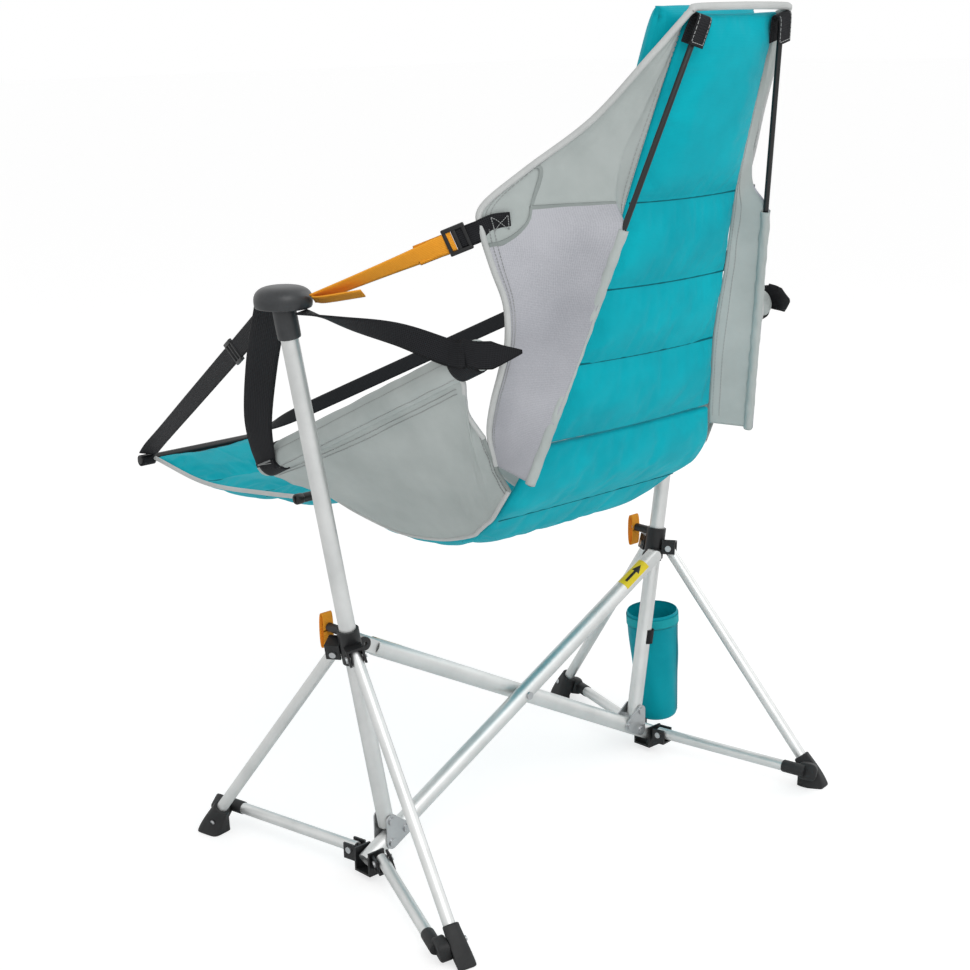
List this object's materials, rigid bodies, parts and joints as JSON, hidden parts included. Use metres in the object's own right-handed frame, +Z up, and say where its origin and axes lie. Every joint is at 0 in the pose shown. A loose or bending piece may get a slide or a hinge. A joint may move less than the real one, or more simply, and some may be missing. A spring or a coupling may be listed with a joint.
{
  "type": "camp rocking chair",
  "caption": "Free-standing folding camp chair: a padded sling seat with leg rest hangs by webbing from two leaning posts on scissor-braced tripod legs and rocks.",
  "frame": {"origin": "on the floor, midway between the two tripods and on the pivot line of the crossing braces seen from above", "axes": "+Z up, the seat faces -Y, the sitter's left is +X"},
  "size_m": [0.8394, 1.1627, 1.1203],
  "materials": {
    "frame_tube": "satin anodised silver",
    "bare_metal": "plain rivets and plates",
    "black_plastic": "moulded, fine grain",
    "cap_plastic": "moulded dark grey",
    "foot_rubber": "matt rubber",
    "teal_fabric": "padded polyester",
    "grey_fabric": "coated polyester",
    "grey_mesh": "knitted mesh",
    "black_webbing": "woven webbing",
    "orange_webbing": "woven webbing",
    "black_rod": "black coated rod"
  },
  "bodies": {
    "left_post": {"left_post": "frame_tube", "left_cap": "cap_plastic"},
    "brace_b": {"brace_b": "frame_tube", "left_gusset_plates": "bare_metal", "left_gusset_rivets": "bare_metal", "brace_crossing_rivet": "bare_metal"},
    "brace_a": {"brace_a": "frame_tube", "right_gusset_plates": "bare_metal", "right_gusset_rivets": "bare_metal"},
    "right_post": {"right_post": "frame_tube", "right_cap": "cap_plastic", "bottle_bag": "teal_fabric", "bottle_bag_strap": "black_webbing"},
    "seat": {"back_panel": "teal_fabric", "seat_panel": "teal_fabric", "leg_rest": "teal_fabric", "headrest_pillow": "teal_fabric", "left_wing": "grey_mesh", "right_wing": "grey_mesh", "left_side_panel": "grey_fabric", "right_side_panel": "grey_fabric", "back_rods": "black_rod", "rod_pockets": "black_webbing", "left_arm_tube": "frame_tube", "right_arm_tube": "frame_tube", "left_arm_sleeve": "grey_fabric", "right_arm_sleeve": "grey_fabric", "front_straps": "black_webbing", "rear_straps": "black_webbing", "strap_cuffs": "black_webbing", "recline_straps": "orange_webbing", "leg_rest_straps": "black_webbing", "strap_buckles": "black_plastic", "wing_tabs": "grey_mesh", "seat_cross_bar": "black_rod", "leg_rest_bar": "black_rod"},
    "left_mid_hub": {"left_mid_hub": "black_plastic", "left_leg_pins": "bare_metal"},
    "left_lock": {"left_lock_pin": "bare_metal", "left_pull_loop": "orange_webbing"},
    "left_bottom_hub": {"left_bottom_hub": "black_plastic", "left_hub_pins": "bare_metal"},
    "left_rear_leg": {"left_rear_leg": "frame_tube", "left_rear_foot": "foot_rubber"},
    "left_rear_stretcher": {"left_rear_stretcher": "frame_tube"},
    "left_front_leg": {"left_front_leg": "frame_tube", "left_front_foot": "foot_rubber"},
    "left_front_stretcher": {"left_front_stretcher": "frame_tube"},
    "right_mid_hub": {"right_mid_hub": "black_plastic", "right_leg_pins": "bare_metal"},
    "right_lock": {"right_lock_pin": "bare_metal", "right_pull_loop": "orange_webbing"},
    "right_bottom_hub": {"right_bottom_hub": "black_plastic", "right_hub_pins": "bare_metal"},
    "right_rear_leg": {"right_rear_leg": "frame_tube", "right_rear_foot": "foot_rubber"},
    "right_rear_stretcher": {"right_rear_stretcher": "frame_tube"},
    "right_front_leg": {"right_front_leg": "frame_tube", "right_front_foot": "foot_rubber"},
    "right_front_stretcher": {"right_front_stretcher": "frame_tube"}
  },
  "joints": [
    {"name": "frame_fold", "type": "hinge", "parent": "left_post", "child": "brace_b", "pos_m": [0.2595, 0.0125, 0.074], "axis": [0, 1, 0], "range_deg": [0, 52], "deforming": ["back_panel", "seat_panel", "leg_rest", "headrest_pillow", "left_wing", "right_wing", "left_side_panel", "right_side_panel", "back_rods", "rod_pockets", "left_arm_tube", "right_arm_tube", "left_arm_sleeve", "right_arm_sleeve", "front_straps", "rear_straps", "strap_cuffs", "recline_straps", "leg_rest_straps", "strap_buckles", "wing_tabs", "seat_cross_bar", "leg_rest_bar", "bottle_bag"]},
    {"name": "brace_scissor", "type": "hinge", "parent": "brace_b", "child": "brace_a", "pos_m": [0, 0, 0.17891], "axis": [0, -1, 0], "range_deg": [0, 87.04]},
    {"name": "right_post_pivot", "type": "hinge", "parent": "brace_a", "child": "right_post", "pos_m": [-0.2595, -0.0125, 0.074], "axis": [0, 1, 0], "range_deg": [0, 52.01]},
    {"name": "left_hub_slide", "type": "slide", "parent": "left_post", "child": "left_mid_hub", "axis": [0.1752, 0, 0.9845], "range_m": [0, 0.29861]},
    {"name": "left_hub_turn", "type": "hinge", "parent": "brace_b", "child": "left_bottom_hub", "pos_m": [0.29, 0.0125, 0.0275], "axis": [0, -1, 0], "range_deg": [0, 52.01]},
    {"name": "left_rear_leg_fold", "type": "hinge", "parent": "left_mid_hub", "child": "left_rear_leg", "pos_m": [0.31383, 0.0337, 0.32225], "axis": [-0.8577, 0.4613, 0.2268], "range_deg": [0, 36.16]},
    {"name": "left_rear_stretcher_fold", "type": "hinge", "parent": "left_bottom_hub", "child": "left_rear_stretcher", "pos_m": [0.29, 0.042, 0.0335], "axis": [0.8898, -0.3868, -0.2421], "range_deg": [0, 83.5]},
    {"name": "left_front_leg_fold", "type": "hinge", "parent": "left_mid_hub", "child": "left_front_leg", "pos_m": [0.31383, -0.0087, 0.32225], "axis": [0.8025, 0.5152, -0.3009], "range_deg": [0, 30.2]},
    {"name": "left_front_stretcher_fold", "type": "hinge", "parent": "left_bottom_hub", "child": "left_front_stretcher", "pos_m": [0.29, -0.017, 0.0335], "axis": [-0.9874, -0.1572, 0.0182], "range_deg": [0, 66.07]},
    {"name": "right_hub_slide", "type": "slide", "parent": "right_post", "child": "right_mid_hub", "axis": [-0.1752, 0, 0.9845], "range_m": [0, 0.29861]},
    {"name": "right_hub_turn", "type": "hinge", "parent": "brace_a", "child": "right_bottom_hub", "pos_m": [-0.29, -0.0125, 0.0275], "axis": [0, 1, 0], "range_deg": [0, 52.01]},
    {"name": "right_front_leg_fold", "type": "hinge", "parent": "right_mid_hub", "child": "right_front_leg", "pos_m": [-0.31383, -0.0337, 0.32225], "axis": [0.8577, -0.4613, 0.2268], "range_deg": [0, 36.16]},
    {"name": "right_front_stretcher_fold", "type": "hinge", "parent": "right_bottom_hub", "child": "right_front_stretcher", "pos_m": [-0.29, -0.042, 0.0335], "axis": [-0.8898, 0.3868, -0.2421], "range_deg": [0, 83.5]},
    {"name": "right_rear_leg_fold", "type": "hinge", "parent": "right_mid_hub", "child": "right_rear_leg", "pos_m": [-0.31383, 0.0087, 0.32225], "axis": [-0.8025, -0.5152, -0.3009], "range_deg": [0, 30.2]},
    {"name": "right_rear_stretcher_fold", "type": "hinge", "parent": "right_bottom_hub", "child": "right_rear_stretcher", "pos_m": [-0.29, 0.017, 0.0335], "axis": [0.9874, 0.1572, 0.0182], "range_deg": [0, 66.07]},
    {"name": "seat_swing", "type": "hinge", "parent": "left_post", "child": "seat", "pos_m": [0, 0, 0.775], "axis": [0.9995, 0.0325, 0], "range_deg": [-15, 15], "deforming": ["front_straps", "rear_straps", "recline_straps", "leg_rest_straps"]},
    {"name": "left_lock_pull", "type": "slide", "parent": "left_mid_hub", "child": "left_lock", "axis": [0, -1, 0], "range_m": [0, 0.008], "stiffness_N_per_m": 300},
    {"name": "right_lock_pull", "type": "slide", "parent": "right_mid_hub", "child": "right_lock", "axis": [0, -1, 0], "range_m": [0, 0.008], "stiffness_N_per_m": 300}
  ],
  "couplings": [
    {"joint": "brace_scissor", "follows": "frame_fold", "ratio": 1.6736},
    {"joint": "right_post_pivot", "follows": "frame_fold", "ratio": 1},
    {"joint": "left_hub_slide", "follows": "frame_fold", "m_per_rad": 0.32891},
    {"joint": "left_hub_turn", "follows": "frame_fold", "ratio": 1},
    {"joint": "left_rear_leg_fold", "follows": "frame_fold", "ratio": 0.69528},
    {"joint": "left_rear_stretcher_fold", "follows": "frame_fold", "ratio": 1.6056},
    {"joint": "left_front_leg_fold", "follows": "frame_fold", "ratio": 0.58049},
    {"joint": "left_front_stretcher_fold", "follows": "frame_fold", "ratio": 1.2704},
    {"joint": "right_hub_slide", "follows": "frame_fold", "m_per_rad": 0.32891},
    {"joint": "right_hub_turn", "follows": "frame_fold", "ratio": 1},
    {"joint": "right_front_leg_fold", "follows": "frame_fold", "ratio": 0.69528},
    {"joint": "right_front_stretcher_fold", "follows": "frame_fold", "ratio": 1.6056},
    {"joint": "right_rear_leg_fold", "follows": "frame_fold", "ratio": 0.58049},
    {"joint": "right_rear_stretcher_fold", "follows": "frame_fold", "ratio": 1.2704}
  ]
}
